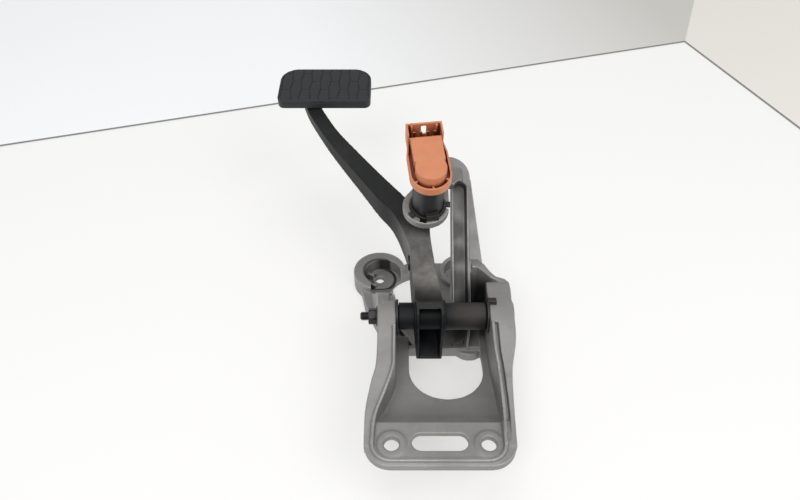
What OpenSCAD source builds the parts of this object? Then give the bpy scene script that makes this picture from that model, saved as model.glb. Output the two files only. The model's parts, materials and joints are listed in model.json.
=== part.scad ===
// Brake pedal assembly: die-cast bracket, hollow steel arm, rubber pad, pivot set and stop-lamp switch.
// Millimetres. Origin: midway between the two far stud holes, on the mounting face.
// +Y runs from the top flange towards the pad, +Z away from the mounting face, X along the pivot.

/* [Pivot] */
// Height of the pivot axis above the mounting face
pivot_h = 75; // [73:0.5:77]
// Distance from the far stud holes back to the pivot axis
pivot_back = 111.5; // [109:0.5:114]
// Clear width between the bracket's two cheeks
cheek_gap = 80; // [76:1:84]
// Outer diameter of the pivot tube
tube_d = 23.5; // [22:0.5:26]
// Wall of the pivot tube
tube_wall = 2.25; // [2:0.25:3]
// Outer diameter of the steel spacer inside the bushes
spacer_d = 12; // [11:0.5:13]
// Thread diameter of the pivot bolt
bolt_d = 8; // [6:1:8]

/* [Bracket] */
// Height of the base frame's rim
base_h = 12; // [10:1:15]
// Thickness of the base floor
base_floor = 5; // [4:0.5:7]
// Distance between the two far stud holes
stud_pitch = 87; // [84:1:90]
// Diameter of the stud holes
stud_hole_d = 9; // [8:0.5:10]
// Radius of the raised ear round the left far stud hole
ear_r = 27; // [25:1:29]
// Height of the raised ears
ear_h = 19.5; // [17:0.5:24]
// Wall of the casting
wall = 4; // [3.5:0.5:5]
// Radius of the opening in the front web
web_hole_r = 31.5; // [28:0.5:33]

/* [Top flange] */
// Height of the flange floor above the mounting face
flange_h = 66; // [62:1:70]
// Distance between the two flange holes
flange_pitch = 73; // [68:1:76]
// Diameter of the flange holes
flange_hole_d = 11.6; // [9:0.2:12]
// Length of the slot between the flange holes
slot_len = 42.6; // [30:0.2:44]
// Width of the slot between the flange holes
slot_w = 14.4; // [10:0.2:16]

/* [Pedal arm] */
// Width of the arm at the pivot
arm_w = 22.5; // [20:0.5:24]
// Sheet thickness of the hollow arm
arm_wall = 2.5; // [2:0.25:3]
// Diameter of the pushrod pin hole
pin_d = 10; // [8:0.5:12]

/* [Pad] */
// Width of the rubber pad
pad_w = 96; // [90:1:104]
// Length of the rubber pad along the pedal
pad_l = 56; // [52:1:62]
// Thickness of the rubber pad
pad_t = 9.5; // [8:0.5:12]
// Pitch of the pad's hexagon columns
hex_pitch = 10; // [9:0.5:12]
// Depth of the grooves between the hexagons
groove_depth = 1.2; // [0.8:0.1:2]

/* [Switch] */
// Diameter of the switch barrel
barrel_d = 27.5; // [25:0.5:29]
// Height of the barrel above its carrier plate
barrel_up = 35.5; // [33:0.5:38]
// Travel of the switch plunger
plunger_travel = 4; // [3:0.5:5]
// Width of the switch housing
housing_w = 36; // [34:1:39]
// Width of the connector socket
socket_w = 32; // [30:1:34]
// Thickness of the switch carrier plate
carrier_t = 8; // [7:0.5:10]

/* [Hidden] */
$fn = 64;

casting = [0.57, 0.56, 0.54];
coated = [0.2, 0.2, 0.2];
steel = [0.6, 0.6, 0.6];
dark_steel = [0.25, 0.25, 0.26];
black_plastic = [0.12, 0.12, 0.12];
orange = [0.88, 0.48, 0.3];
brass = [0.8, 0.65, 0.3];
rubber = [0.16, 0.17, 0.18];

// Pivot set; the lists below count Y from the pivot axis
half_gap = cheek_gap / 2;
far_away = 200;
run_fit = 0.05;
end_gap = 0.3;
bush_flange_t = 2.2;
bush_flange_r = tube_d / 2 + 2.8;
bush_len = 16;
bush_tab = [8, 5, 4];
bush_tab_y = 4;
tube_len = cheek_gap - 2 * (bush_flange_t + end_gap);
tube_in_r = tube_d / 2 - tube_wall;
boss_r = 12.5;
left_cheek_w = 15.5;
right_seat = 10;
right_cheek_w = 21;
bolt_hole_d = bolt_d + 0.6;
bolt_over = 15;
bolt_head_w = 13;
bolt_head_h = 6.5;
washer_r = 9;
washer_t = 1.6;
nut_h = 7;
seat_over = 1;

// Places of the studs and the flange
left_stud_x = -57.5;
right_stud_x = left_stud_x + stud_pitch;
near_stud_y = pivot_back - stud_pitch;
flange_left = -63.4;
flange_right = 51;
flange_front = -137;
flange_back = -99;

// Edge strips of the two cheeks: side lines as Y and Z, plan lines as X and Y
left_top = [[flange_front, flange_h + 2], [-111, flange_h + 3], [-81, pivot_h - 2], [-46, pivot_h + 5],
            [-21, pivot_h + 11], [0, pivot_h + 13], [18, pivot_h + 8], [36, pivot_h - 9], [54, pivot_h - 30],
            [74, 24], [88, 12], [98, base_floor + 0.5]];
right_top = [[flange_front, flange_h + 2], [-111, flange_h + 3], [-81, pivot_h - 2], [-46, pivot_h + 5],
             [-21, pivot_h + 11], [0, pivot_h + 13], [18, pivot_h + 11], [33, pivot_h + 8],
             [44, pivot_h - 12], [58, pivot_h - 40], [72, ear_h]];
edge_low = [[flange_front, flange_h - 5], [-101, 52], [-61, 38], [-16, 10], [14, 0], [100, 0]];
left_out = [[-63.4, -121], [-63.4, -93], [-59.5, -68], [-55.5, -48], [-55.5, 4], [-57.5, 30],
            [-60.5, 52], [-65, 76], [-67, 98]];
left_in = [[-56, -121], [-54.4, -98], [-47.5, -78], [-41, -58], [-40, -44], [-40, 4], [-41, 20],
           [-45, 42], [-48, 62], [-46, 84], [-43, 98]];
right_out = [[51, -121], [52.2, -89], [54, -58], [59.5, -30], [60, 4], [60.5, 34], [59.5, 52], [54, 72]];
right_in = [[41, -121], [42.4, -92], [41.5, -58], [40, -36], [40, 4], [40, 24], [41, 44], [40, 72]];
ridge_up = 3;
ridge_w = 2.6;
ridge_end = -14;
groove_w = 3;
groove_deep = 4;
groove_from = -118;
pocket_from = -46;
pocket_to = 62;
slot_at = [-44, 19];
slot_size = [3.5, 22];
slot_floor = pivot_h - 6;

// Top flange
flange_corner_r = 20;
flange_x = (flange_left + flange_right) / 2;
flange_hole_y = -118;
flange_lip = 5;
flange_front_lip = 2.5;
flange_groove = 10;
flange_t = 5;
strip_low = flange_h - 5;
strip_top = flange_h + 2;
hole_pad_r = flange_hole_d / 2 + 5.4;
web_line = [[-102, 64.5], [-94, 60], [-84, 54], [-68, 50], [-36, 47], [6, 43]];
web_hole_pos = [3, -36];

// Base frame
base_near = [[-52, 14], [52, 14], [60, 20], [60, 52]];
base_far = [[right_stud_x + 12, pivot_back + 18], [left_stud_x + 30, pivot_back + 18],
            [left_stud_x - 26, pivot_back - 8], [-76.6, 94.8], [-72, 72], [-58, 40.4]];
opening_r = 35;
opening_pos = [-11, pivot_back - 31.5];
opening_shift = [-3, 2];
opening_side = 3;
front_floor = [[-42, 18], [42, 18], [38, 44], [-38, 44]];
right_ear_r = 24;
ear_well_r = ear_r - 8.5;
ear_well_shift = [3.5, -3];
ear_mouth = [[-66, -30], [-28, -30], [-30, -6], [-66, -14]];
ear_ribs = [[[-24, 11], [-6, 3]], [[-23, -1], [-3, -12]]];
ear_rib_h = 9;
ear_pocket = [[-24, -20], [-3.5, 9]];
ear_pocket_floor = 1.5;
ear_pad_r = 7.5;
mark_at = [-0.6, -12.3];
mark_r = 4;
mark_up = 0.6;
near_boss_r = 16;
near_boss_h = base_h - 2;
rib_w = 3;
left_rib = [[-36, 40], [-22, 17]];
right_rib = [[37, 40], [15, 17]];

// Well between the right cheek and the post
well_top = pivot_h + 9;
well_floor = 14;
well_out = [[26, 14], [61, 14], [61.5, 24], [61, 32], [57.5, 36.5], [50, 39.5], [45.5, 45.5],
            [41, 55], [36, 60], [26, 60]];
well_in = [[28.5, 7], [42, 7], [42, 27], [47, 25], [53, 28], [56.6, 31.5], [52, 33.5],
           [45, 38], [39, 45.5], [34, 51], [28.5, 51]];

// Switch carrier: plate tilted towards the flange, post leaning towards the pad
switch_pos = [-13, 83, 56];
switch_tilt = 13;
switch_turn = 6.5;
switch_off = 1.5;
plate_r = 21;
post_foot = [0, 46, -1];
post_tilt = 40;
post_len = 93;
post_left = 11.5;
post_down = 44;
post_ridge = 27.5;
post_depth = 20;
column_near = 44;
column_far = 64;
column_top = [49.5, 66];
column_in = 0.6;
channel_left = 13.2;
channel_right = 25.5;
channel_depth = 15;
panel_foot = 41;
panel_head = 30;
panel_drop = 2.5;
panel_edge = 3.5;
head_pos = [8.5, 94];
head_r = 20.5;
head_from = 87;
hook_pos = [19, 36];
hook_r = 16;
hook_in = 0.3;
hook_from = 24;
hook_clear = 21;

// Arm outlines: side view as Y and Z from the pivot, plan as X from its two walls and Y
arm_x = -10.75;
arm_front = [[-18, -38], [-18.4, -15], [-16.5, 5], [-13, 17], [-4, 23]];
arm_top = [[0, 21.8], [24, 22.5], [50, 25], [81, 31], [114, 39.5], [154, 51], [194, 62.5], [223, 69]];
arm_bottom = [[-18, -38], [24, -24], [68, -5.5], [122, 19.6], [184, 45.5], [223, 58], [262, 69]];
arm_left = [[0, -26], [0, -18], [-3, 22], [-5, 49], [-6, 62], [-12.5, 81], [-21.6, 99], [-35.3, 114],
            [-54.5, 139], [-75.4, 166], [-93.4, 192], [-110.6, 223], [-121, 254]];
arm_right = [[0, -26], [0, -8], [-2.9, 18], [-6.5, 48], [-8.8, 70], [-10, 86], [-18, 98.5], [-31, 114],
             [-53.8, 139], [-77.2, 166], [-98.7, 192], [-112, 214], [-118.5, 227], [-129.5, 254]];
arm_mouth = -40;
foot_y = [232.5, 256];
foot_up = 69.5;
pin_pos = [58, 7];
sleeve_wall = 1.8;
sleeve_over = 1;

// Pad
pad_pos = [-115, 250, 82];
pad_tilt = 6;
pad_far_r = 19;
pad_near_r = 7;
plate_t = 3;
plate_in = 3.8;
plate_fit = 0.2;
lip_w = 5;
plate_deep = 3.6;
hex_len = 28;
hex_gap = 1.5;
hex_at = [5.3, -8.7];
hex_share = 0.42;
seam_cut = [1.6, 0.9, 0.7];
border_w = 1.6;

// Switch, measured from the top of the carrier plate along its own axis
barrel_r = barrel_d / 2;
barrel_low = 12;
barrel_wall = 2;
clip_wall = 2.3;
clip_fit = 0.15;
clip_flange = 2;
stem_r = 4;
stem_fit = 0.3;
stem_tip = -23.2;
collar_r = 8.5;
collar_t = 3;
stem_top_r = 3;
barrel_in_r = barrel_r - 3.5;
seat_z = 18;
seat_t = 2;
bridge_z = 28;
bridge_half = 7.2;
contact_w = 4;
strip_t = 1.2;
key_angles = [-8, 212];
key_w = 5.4;
key_h = 2.4;
key_len = 6.5;
latch = [11, 8, 7];
clip_over = 1.6;
seat_gap = 0.1;
spring_r = 6.2;
spring_wire = 0.6;
spring_turns = 7;
tray_t = 2;
tray_rim = 8;
tray_wall = 1.8;
tray_shoulder = 24;
housing_off = 1.3;
near_wall_h = 14;
spike = [0.8, 2.5];
cover_h = 14.5;
cover_t = 1.8;
cover_roof = 2;
cover_r = 13.5;
cover_w = 27;
cover_far = 34;
socket_near = 35;
socket_far = 49;
socket_h = 19;
window = [4.6, 10];
window_up = 6;
pin_x = [-9, -3, 3, 9];
pin_w = 1.9;
pin_t = 1.1;
pin_len = 15;
pin_back = 6;
pin_fit = 0.05;

// Smooth curve through a list of points
function blend(a, b, c, d, t) =
    0.5 * (2 * b + (c - a) * t + (2 * a - 5 * b + 4 * c - d) * t * t + (3 * b - a - 3 * c + d) * t * t * t);
function curve(p, steps = 4) = [
    for (i = [0 : len(p) - 2]) for (k = [0 : steps - 1])
        blend(p[max(i - 1, 0)], p[i], p[i + 1], p[min(i + 2, len(p) - 1)], k / steps),
    p[len(p) - 1]];
function flip(p) = [for (i = [len(p) - 1 : -1 : 0]) p[i]];
function shift(p, d) = [for (q = p) q + d];
function within(p, lo, hi) = [for (q = p) if (q[1] > lo && q[1] < hi) q];

// Four-sided outline that touches a circle at 0,0 and one at p
function belt(ra, p, rb) =
    let (a = atan2(p[1], p[0]), b = acos((ra - rb) / norm(p)))
    [for (e = [a + b, a - b]) ra * [cos(e), sin(e)], for (e = [a - b, a + b]) p + rb * [cos(e), sin(e)]];

// From the pivot's X and Y to the origin between the far studs
module on_face() translate([-left_stud_x - stud_pitch / 2, -pivot_back, 0]) children();

// Upright prism between two plan lines, and a band between two side lines carried along X
module plan_strip(a, b, z0 = -1, z1 = far_away)
    translate([0, 0, z0]) linear_extrude(z1 - z0) polygon(concat(a, flip(b)));
module side_band(a, b, x0 = -far_away, x1 = far_away)
    translate([x0, 0, 0]) rotate([90, 0, 90]) linear_extrude(x1 - x0) polygon(concat(a, flip(b)));
module along_x(x0, x1, r) translate([x0, 0, pivot_h]) rotate([0, 90, 0]) cylinder(h = x1 - x0, r = r);
module tube_x(x0, x1, r_out, r_in) difference() {
    along_x(x0, x1, r_out);
    along_x(x0 - 1, x1 + 1, r_in);
}
module at_pivot() translate([0, 0, pivot_h]) children();
module at_plate() at_pivot() translate(switch_pos) rotate([switch_tilt, 0, 0]) children();
module at_switch() at_plate() translate([switch_off, 0, 0]) rotate([0, 0, switch_turn]) children();
module at_post() at_pivot() translate(post_foot) rotate([post_tilt, 0, 0]) children();
module at_pad() at_pivot() translate(pad_pos) rotate([pad_tilt, 0, 0]) children();
module at_stud(x) translate([x, pivot_back, 0]) children();
module hex_prism(across, h) cylinder(h = h, r = across / sqrt(3), $fn = 6);

module front_round(x0, x1, y0, y1, r) {
    translate([x0, y0 + r]) square([x1 - x0, y1 - y0 - r]);
    translate([x0 + r, y0]) square([x1 - x0 - 2 * r, r + 1]);
    for (x = [x0 + r, x1 - r]) translate([x, y0 + r]) difference() {
        circle(r);
        translate([-r, y1 - y0 - r]) square(2 * r);
    }
}

// Edge strip, cheek and ridge of one side; out is the sign of the outward direction
module cheek(outer, inner, top, out) {
    intersection() {
        plan_strip(curve(outer), curve(inner));
        side_band(curve(top), edge_low);
    }
    ridge = within(curve(inner), flange_front, ridge_end);
    intersection() {
        plan_strip(ridge, shift(ridge, [out * ridge_w, 0]));
        side_band(shift(curve(top), [0, ridge_up]), edge_low);
    }
}

// Groove between the right ridge and its strip
module right_groove() {
    line = within(curve(right_in), groove_from, ridge_end);
    difference() {
        plan_strip(shift(line, [ridge_w, 0]), shift(line, [ridge_w + groove_w, 0]), strip_low + 1);
        side_band(shift(curve(right_top), [0, -groove_deep]), edge_low);
    }
}

// Hollow of a cheek, open to the mounting face
module cheek_pocket(outer, inner, top, out) intersection() {
    plan_strip(shift(within(curve(outer), pocket_from, pocket_to), [-out * wall, 0]),
               shift(within(curve(inner), pocket_from, pocket_to), [out * wall, 0]));
    side_band(shift(curve(top), [0, -wall - groove_deep]), [[flange_front, -2], [pivot_back, -2]]);
}

// Hollow in the left ear, with ribs from its rim to the seat of the stud
module ear_well() {
    translate([ear_well_shift[0], ear_well_shift[1], base_floor]) cylinder(h = ear_h, r = ear_well_r);
    translate([0, 0, ear_pocket_floor]) intersection() {
        translate(ear_well_shift) cylinder(h = ear_h, r = ear_well_r);
        difference() {
            translate([ear_pocket[0][0], ear_pocket[0][1], 0])
                cube([ear_pocket[1][0] - ear_pocket[0][0], ear_pocket[1][1] - ear_pocket[0][1], ear_h]);
            cylinder(h = ear_h, r = ear_pad_r);
        }
    }
}
module rib(a, b, h) {
    d = b - a;
    translate([a[0], a[1], 0]) rotate([0, 0, atan2(d[1], d[0])])
        translate([0, -rib_w / 2, 0]) cube([norm(d), rib_w, h]);
}

module base_frame() {
    difference() {
        union() {
            linear_extrude(base_h) polygon(concat(base_near, base_far));
            at_stud(left_stud_x) cylinder(h = ear_h, r = ear_r);
            at_stud(right_stud_x) cylinder(h = ear_h, r = right_ear_r);
        }
        translate([0, 0, base_floor]) linear_extrude(base_h) polygon(front_floor);
        translate([0, 0, -1]) linear_extrude(ear_h + 2) for (s = [[0, 0], opening_shift])
            intersection() {
                translate(opening_pos + s) circle(opening_r);
                translate([opening_side - far_away, 0]) square(far_away);
            }
        at_stud(left_stud_x) ear_well();
        at_stud(0) translate([0, 0, base_floor]) linear_extrude(ear_h) polygon(ear_mouth);
        at_stud(right_stud_x) translate([0, 0, base_floor]) cylinder(h = ear_h, r = right_ear_r - wall);
    }
    at_stud(left_stud_x) {
        for (e = ear_ribs) rib(e[0], e[1], ear_rib_h);
        translate([mark_at[0], mark_at[1], 0]) cylinder(h = base_floor + mark_up, r = mark_r);
    }
    translate([right_stud_x, near_stud_y, 0]) cylinder(h = near_boss_h, r = near_boss_r);
    rib(left_rib[0], left_rib[1], base_h);
    rib(right_rib[0], right_rib[1], base_h);
}

module stud_holes() {
    for (x = [left_stud_x, right_stud_x])
        at_stud(x) translate([0, 0, -1]) cylinder(h = ear_h + 2, r = stud_hole_d / 2);
    translate([right_stud_x, near_stud_y, -1]) cylinder(h = base_h + 2, r = stud_hole_d / 2);
}

module web() difference() {
    intersection() {
        plan_strip(within(curve(left_in), -102, 7), within(curve(right_in), -102, 7));
        side_band(curve(web_line), shift(curve(web_line), [0, -wall]));
    }
    translate([web_hole_pos[0], web_hole_pos[1], 0]) {
        cylinder(h = flange_h, r = web_hole_r);
        translate([-web_hole_r, 0, 0]) cube([2 * web_hole_r, 60, flange_h]);
    }
}

module top_flange() {
    ridge_x0 = flange_left + flange_lip + ridge_w;
    ridge_x1 = flange_right - flange_groove;
    difference() {
        translate([0, 0, strip_low]) linear_extrude(strip_top - strip_low)
            front_round(flange_left, flange_right, flange_front, flange_back, flange_corner_r);
        translate([0, 0, flange_h]) linear_extrude(flange_h)
            front_round(ridge_x0, ridge_x1, flange_front + flange_front_lip, flange_back + 1,
                        flange_corner_r - flange_lip);
        translate([0, 0, strip_low - 1]) linear_extrude(flange_h - flange_t - strip_low + 1)
            front_round(flange_left + wall, flange_right - wall, flange_front + wall, flange_back + 1,
                        flange_corner_r - wall);
    }
    translate([0, 0, flange_h - 1]) linear_extrude(strip_top + ridge_up - flange_h + 1) difference() {
        front_round(ridge_x0 - ridge_w, ridge_x1 + ridge_w, flange_front + flange_front_lip,
                    flange_back - 2, flange_corner_r - flange_lip);
        front_round(ridge_x0, ridge_x1, flange_front + flange_front_lip + ridge_w, flange_back + 1,
                    flange_corner_r - flange_lip - ridge_w);
    }
    for (side = [-1, 1])
        translate([flange_x + side * flange_pitch / 2, flange_hole_y, flange_h - flange_t])
            cylinder(h = flange_t + 1, r = hole_pad_r);
}

module flange_holes() {
    for (side = [-1, 1]) translate([flange_x + side * flange_pitch / 2, flange_hole_y, 0])
        cylinder(h = 2 * flange_h, r = flange_hole_d / 2);
    translate([flange_x, flange_hole_y + 2, 0]) {
        for (side = [-1, 1]) translate([side * (slot_len - slot_w) / 2, 0, 0])
            cylinder(h = 2 * flange_h, r = slot_w / 2);
        translate([-(slot_len - slot_w) / 2, -slot_w / 2, 0])
            cube([slot_len - slot_w, slot_w, 2 * flange_h]);
    }
}

// Box between the right cheek and the post, open on top, hollow below
module well_box() {
    difference() {
        linear_extrude(well_top) polygon(well_out);
        translate([0, 0, well_floor]) linear_extrude(well_top) polygon(well_in);
        at_post() translate([0, -60, 0]) cube([well_in[0][0] + 1, 160, 60]);
    }
}

// Arched recess in the post's front, cut this far past its face
module post_channel(over) {
    translate([channel_left, -post_down - 1, -channel_depth])
        cube([channel_right - channel_left, head_from + post_down - 2, channel_depth + over]);
    translate([(channel_left + channel_right) / 2, head_from - 3, -channel_depth])
        cylinder(h = channel_depth + over, r = (channel_right - channel_left) / 2);
}

module switch_post() {
    column = [[column_near, 0], [column_near, column_top[0]], [column_far, column_top[1]]];
    well_box();
    // Column under the channel
    difference() {
        side_band(column, [[column_near, 0], [column_far, 0]],
                  post_left + column_in, post_ridge - column_in);
        translate([post_left + wall, column_near + wall, -1])
            cube([post_ridge - post_left - 2 * wall, column_far - column_near - 2 * wall, pivot_h - 30]);
    }
    at_post() {
        // Channel with a rounded head and an arched recess in its front
        difference() {
            union() {
                translate([post_left, -post_down, -post_depth])
                    cube([post_ridge - post_left, post_len + post_down, post_depth]);
                difference() {
                    translate([head_pos[0], head_pos[1], -carrier_t]) cylinder(h = carrier_t, r = head_r);
                    translate([head_pos[0] - 2 * head_r, 0, -carrier_t - 1])
                        cube([2 * head_r + post_left - head_pos[0], head_from, carrier_t + 2]);
                }
            }
            post_channel(1);
        }
        // Tapered panel beside it
        translate([0, 0, -panel_drop - wall]) linear_extrude(wall)
            polygon([[post_ridge - 1, 4], [panel_foot, 4],
                     [panel_head, post_len], [post_ridge - 1, post_len]]);
        translate([0, 0, -post_depth]) linear_extrude(post_depth - panel_drop)
            polygon([[panel_foot - panel_edge, 4], [panel_foot, 4],
                     [panel_head, post_len], [panel_head - panel_edge, post_len]]);
    }
    // Plate that carries the switch, and the hook that joins it to the post
    difference() {
        at_plate() translate([0, 0, -carrier_t]) difference() {
            union() {
                cylinder(h = carrier_t, r = plate_r);
                translate([hook_pos[0], hook_pos[1], 0]) cylinder(h = carrier_t, r = hook_r);
                linear_extrude(carrier_t) polygon(belt(plate_r - hook_in, hook_pos, hook_r - hook_in));
            }
            translate([hook_clear, -plate_r, -1]) cube([40, plate_r + hook_from, carrier_t + 2]);
        }
        at_post() post_channel(30);
    }
}

// Keyed hole for the switch
module carrier_hole() {
    translate([0, 0, -carrier_t - 1]) {
        cylinder(h = carrier_t + 2, r = barrel_r + clip_wall + clip_fit);
        for (a = concat(key_angles, [250])) rotate([0, 0, a]) translate([barrel_r, -key_w / 2 - 0.3, 0])
            cube([6, key_w + 0.6, carrier_t + 2]);
    }
}

module bracket() color(casting) on_face() difference() {
    union() {
        difference() {
            union() {
                base_frame();
                cheek(left_out, left_in, left_top, -1);
                cheek(right_out, right_in, right_top, 1);
            }
            cheek_pocket(left_out, left_in, left_top, -1);
            cheek_pocket(right_out, right_in, right_top, 1);
            right_groove();
        }
        along_x(-half_gap - left_cheek_w, -half_gap, boss_r);
        along_x(half_gap, half_gap + right_cheek_w, boss_r);
        web();
        top_flange();
        switch_post();
    }
    along_x(-half_gap - left_cheek_w - 9, -half_gap + 1, bolt_hole_d / 2);
    along_x(half_gap - 1, half_gap + right_cheek_w + 9, bolt_hole_d / 2);
    along_x(half_gap + right_seat, half_gap + right_cheek_w + 9, washer_r + seat_over);
    // Flat seats for the bushes and the nut
    along_x(-half_gap, half_gap, bush_flange_r + seat_over);
    along_x(-half_gap - left_cheek_w - nut_h, -half_gap - left_cheek_w, washer_r + seat_over);
    difference() {
        translate([slot_at[0], slot_at[1], slot_floor])
            linear_extrude(pivot_h) square(slot_size, center = true);
        side_band(shift(curve(left_top), [0, -groove_deep]), edge_low);
    }
    for (side = [-1, 1]) bush_key(side, 0.2);
    stud_holes();
    flange_holes();
    at_switch() carrier_hole();
}

// Hollow arm: side view and plan view cut from each other
module arm_form(in, front) intersection() {
    plan_strip(shift(curve(arm_left), [arm_x - arm_w / 2 + in, 0]),
               shift(curve(arm_right), [arm_x + arm_w / 2 - in, 0]), 0);
    at_pivot() side_band(concat(front, shift(curve(arm_top), [0, -in]), foot(in)),
                         shift(curve(arm_bottom), [0, in]));
}
// Top of the arm under the pad: a step up to the plate's underside, then along it
function plate_z(y) = pad_pos[2] - (plate_deep + plate_t) / cos(pad_tilt) + (y - pad_pos[1]) * tan(pad_tilt);
function foot(in) = concat([[foot_y[0], foot_up - in]], [for (y = foot_y) [y, plate_z(y) - in]]);

module pedal_arm() color(coated) on_face() difference() {
    arm_form(0, arm_front);
    difference() {
        arm_form(arm_wall, [[arm_mouth, -80], [arm_mouth, 22 - arm_wall]]);
        translate([-far_away, foot_y[0] - 20, 0]) cube([far_away / 2, far_away, far_away]);
    }
    along_x(-half_gap, half_gap, tube_d / 2);
    at_pivot() translate([-half_gap, pin_pos[0], pin_pos[1]]) rotate([0, 90, 0])
        cylinder(h = cheek_gap, r = pin_d / 2 + sleeve_wall);
}

module pivot_tube() color(coated) on_face() tube_x(-tube_len / 2, tube_len / 2, tube_d / 2, tube_in_r);
module pivot_spacer() color(steel) on_face() tube_x(-half_gap, half_gap, spacer_d / 2, bolt_hole_d / 2);

// Tab that keeps a bush from turning: up on the right, down on the left
module bush_key(side, grow)
    translate([side * (half_gap + 2), bush_tab_y, pivot_h + side * (bush_flange_r + 0.4)])
    cube([bush_tab[0] + 2 * grow, bush_tab[1] + 2 * grow, bush_tab[2] + 2 * grow], center = true);
module bush(side) color(black_plastic) on_face() {
    x_in = half_gap - bush_flange_t;
    difference() {
        union() {
            mirror([side < 0 ? 1 : 0, 0, 0]) {
                along_x(x_in, half_gap, bush_flange_r);
                along_x(x_in - bush_len, half_gap, tube_in_r - run_fit);
            }
            bush_key(side, 0);
        }
        along_x(-half_gap - 1, half_gap + 1, spacer_d / 2 + run_fit);
    }
}
module left_bush() bush(-1);
module right_bush() bush(1);

module pivot_bolt() color(dark_steel) on_face() {
    x_head = half_gap + right_seat;
    along_x(-half_gap - left_cheek_w - bolt_over, x_head, bolt_d / 2);
    along_x(x_head, x_head + washer_t, washer_r);
    translate([x_head, 0, pivot_h]) rotate([0, 90, 0]) hex_prism(bolt_head_w, bolt_head_h);
}
module pivot_nut() color(steel) on_face() {
    x_seat = -half_gap - left_cheek_w;
    difference() {
        union() {
            along_x(x_seat - washer_t, x_seat, washer_r);
            translate([x_seat - nut_h - 1, 0, pivot_h]) rotate([0, 90, 0]) hex_prism(bolt_head_w, nut_h);
        }
        along_x(x_seat - nut_h - 2, x_seat + 1, bolt_d / 2 + run_fit);
    }
}

// Steel sleeve that takes the pushrod pin through the arm
sleeve_x = [arm_x - arm_w / 2 - 5.8 - sleeve_over, arm_x + arm_w / 2 - 6.9 + sleeve_over];
module pushrod_sleeve() color(steel) on_face() at_pivot()
    translate([sleeve_x[0], pin_pos[0], pin_pos[1]]) rotate([0, 90, 0]) difference() {
        cylinder(h = sleeve_x[1] - sleeve_x[0], r = pin_d / 2 + sleeve_wall);
        translate([0, 0, -1]) cylinder(h = cheek_gap, r = pin_d / 2);
    }

// Pad outline, pulled in by a margin
module pad_outline(in) {
    w = pad_w / 2 - in;
    l = pad_l / 2 - in;
    rf = pad_far_r - in;
    rn = max(pad_near_r - in, 1);
    translate([-w + rf, -l]) square([2 * (w - rf), 2 * l]);
    translate([-w, -l + rn]) square([2 * w, 2 * l - rn - rf]);
    translate([-w + rn, -l]) square([2 * (w - rn), rn + 1]);
    for (s = [-1, 1]) {
        translate([s * (w - rf), l - rf]) circle(rf);
        translate([s * (w - rn), -l + rn]) circle(rn);
    }
}
module pad_plate() color(dark_steel) on_face() at_pad() translate([0, 0, -plate_deep - plate_t])
    linear_extrude(plate_t) pad_outline(plate_in);

module hex_cell(x, y) translate([x, y, -groove_depth - 0.5]) linear_extrude(groove_depth + 0.5) {
    a = hex_share * hex_pitch - hex_gap / 2;
    b = hex_len / 2 - hex_gap / 2;
    c = (1 - hex_share) * hex_pitch - hex_gap / 2;
    polygon([[a, b], [c, 0], [a, -b], [-a, -b], [-c, 0], [-a, b]]);
}
module rubber_pad() color(rubber) on_face() at_pad() {
    columns = floor(pad_w / hex_pitch / 2);
    difference() {
        translate([0, 0, -pad_t]) linear_extrude(pad_t - groove_depth) pad_outline(0);
        translate([0, 0, -plate_deep - plate_t - plate_fit])
            linear_extrude(plate_t + plate_fit) pad_outline(plate_in - plate_fit);
        translate([0, 0, -pad_t - 1])
            linear_extrude(pad_t + 1 - plate_deep - plate_t) pad_outline(plate_in + lip_w);
        // Fine groove round the edge
        translate([0, 0, -groove_depth - seam_cut[0]]) linear_extrude(seam_cut[1]) difference() {
            pad_outline(-1);
            pad_outline(seam_cut[2]);
        }
    }
    translate([0, 0, -groove_depth]) linear_extrude(groove_depth) difference() {
        pad_outline(0);
        pad_outline(border_w);
    }
    intersection() {
        translate([0, 0, -groove_depth]) linear_extrude(groove_depth) pad_outline(border_w + 0.8);
        for (i = [-columns : columns], j = [-1 : 1])
            hex_cell(i * hex_pitch, j * hex_len + hex_at[abs(i) % 2]);
    }
}

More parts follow.
